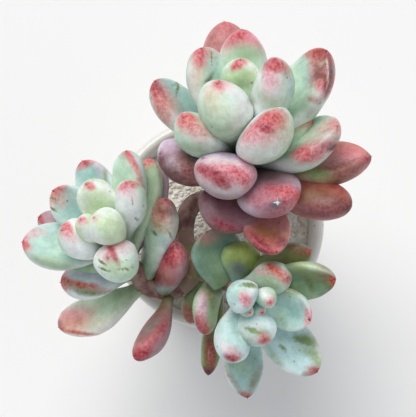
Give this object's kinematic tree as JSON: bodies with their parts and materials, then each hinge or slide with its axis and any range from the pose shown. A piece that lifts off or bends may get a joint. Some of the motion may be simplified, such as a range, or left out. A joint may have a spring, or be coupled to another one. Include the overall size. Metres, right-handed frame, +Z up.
{
  "type": "potted graptopetalum",
  "caption": "Small succulent in a plain tapered pot: clustered rosettes of thick bean-shaped leaves, pale blue-green to pink, on one forked stem.",
  "frame": {"origin": "centre of the pot's underside", "axes": "+Z up along the pot's axis, -Y towards the side the small rosette is on, +X to the right"},
  "size_m": [0.0709, 0.0765, 0.0911],
  "materials": {
    "pot": "satin",
    "potting_mix": "matte",
    "stem": "matte",
    "pink_leaves": "satin",
    "mint_leaves": "satin",
    "blue_leaves": "satin"
  },
  "bodies": {
    "root": {"pot": "pot", "potting_mix": "potting_mix", "main_stem": "stem", "large_head": "pink_leaves", "left_head": "mint_leaves", "small_head": "blue_leaves"}
  },
  "joints": []
}
